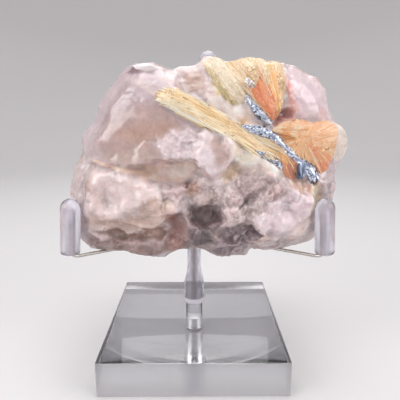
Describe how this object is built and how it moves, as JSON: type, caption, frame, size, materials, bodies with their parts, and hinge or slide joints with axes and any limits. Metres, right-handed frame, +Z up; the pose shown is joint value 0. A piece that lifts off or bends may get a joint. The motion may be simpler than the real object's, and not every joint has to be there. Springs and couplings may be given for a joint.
{
  "type": "rutile with hematite on quartz, on a display stand",
  "caption": "Broken piece of milky quartz with golden rutile needles and steel-grey hematite on its face, held upright by soft-tipped wires on a clear acrylic rod and square base.",
  "frame": {"origin": "centre of the acrylic base's underside", "axes": "+Z up, +X to the right and +Y away from someone who faces the specimen"},
  "size_m": [0.095, 0.0636, 0.1125],
  "materials": {
    "quartz": "milky, translucent, broken surface",
    "rutile": "fibrous, silky",
    "hematite": "metallic, specular plates",
    "acrylic": "clear, polished faces and satin edges",
    "vinyl": "clear, slightly cloudy",
    "steel": "drawn wire"
  },
  "bodies": {
    "root": {"quartz_matrix": "quartz", "rutile_bundle_long": "rutile", "rutile_bundle_top": "rutile", "rutile_fan_upper": "rutile", "rutile_fan_right": "rutile", "rutile_fan_lower": "rutile", "hematite_tuft": "hematite", "hematite_blade": "hematite", "hematite_vein": "hematite", "hematite_seam": "hematite", "acrylic_base": "acrylic", "acrylic_post": "acrylic", "post_sleeve": "vinyl", "wire_arm_left": "steel", "wire_arm_right": "steel", "wire_arm_back": "steel", "wire_tip_left": "vinyl", "wire_tip_right": "vinyl", "wire_tip_back": "vinyl"}
  },
  "joints": []
}
